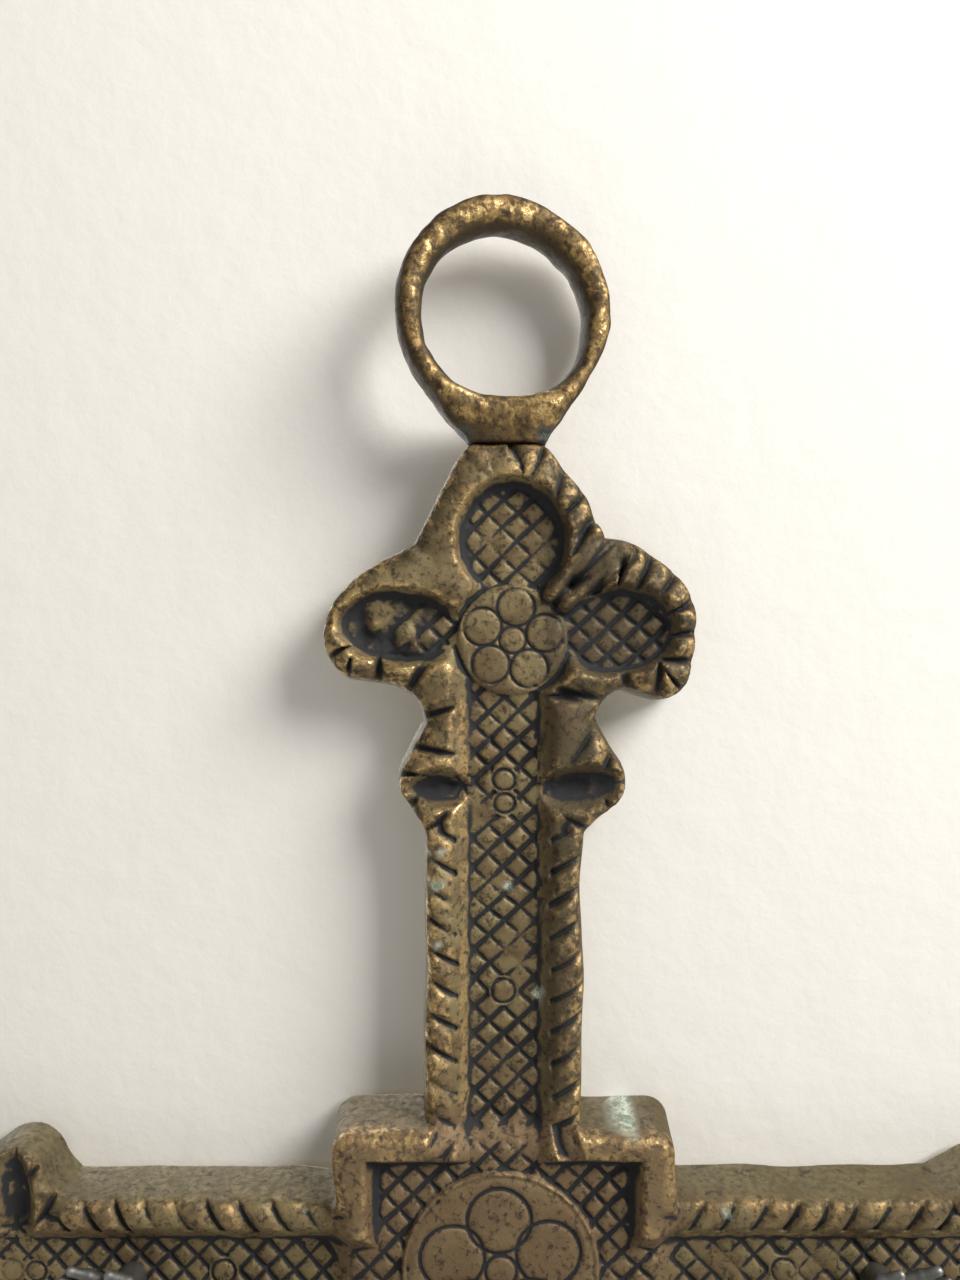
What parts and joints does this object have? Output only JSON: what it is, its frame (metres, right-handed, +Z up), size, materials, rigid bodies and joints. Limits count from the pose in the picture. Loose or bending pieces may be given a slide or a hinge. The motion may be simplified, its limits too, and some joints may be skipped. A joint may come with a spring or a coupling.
{
  "type": "hanging altar cross",
  "caption": "Cast brass altar cross to hang on a wall: rope-edged arms with trefoil ends and engraved panels, a ring on top and a grey metal figure nailed to its front.",
  "frame": {"origin": "centre of the hole of the hanging ring", "axes": "+Z up, the front of the cross faces -Y, +X to the viewer's right"},
  "size_m": [0.2708, 0.0324, 0.3789],
  "materials": {
    "cast_brass": "aged cast, dark in the hollows and worn bright on the crests",
    "ring_brass": "aged cast, pitted, worn bright on its edges",
    "white_metal": "dull grey tin or zinc alloy casting, dark in the folds",
    "nail_brass": "aged, hammered dome",
    "nut_steel": "dark, slightly rusted"
  },
  "bodies": {
    "root": {"cross_body": "cast_brass", "hanging_ring": "ring_brass", "corpus_body": "white_metal", "corpus_left_arm": "white_metal", "corpus_right_arm": "white_metal", "nail_left_hand": "nail_brass", "nail_right_hand": "nail_brass", "nail_feet": "nail_brass", "nut_left_hand": "nut_steel", "nut_right_hand": "nut_steel", "nut_feet": "nut_steel"}
  },
  "joints": []
}
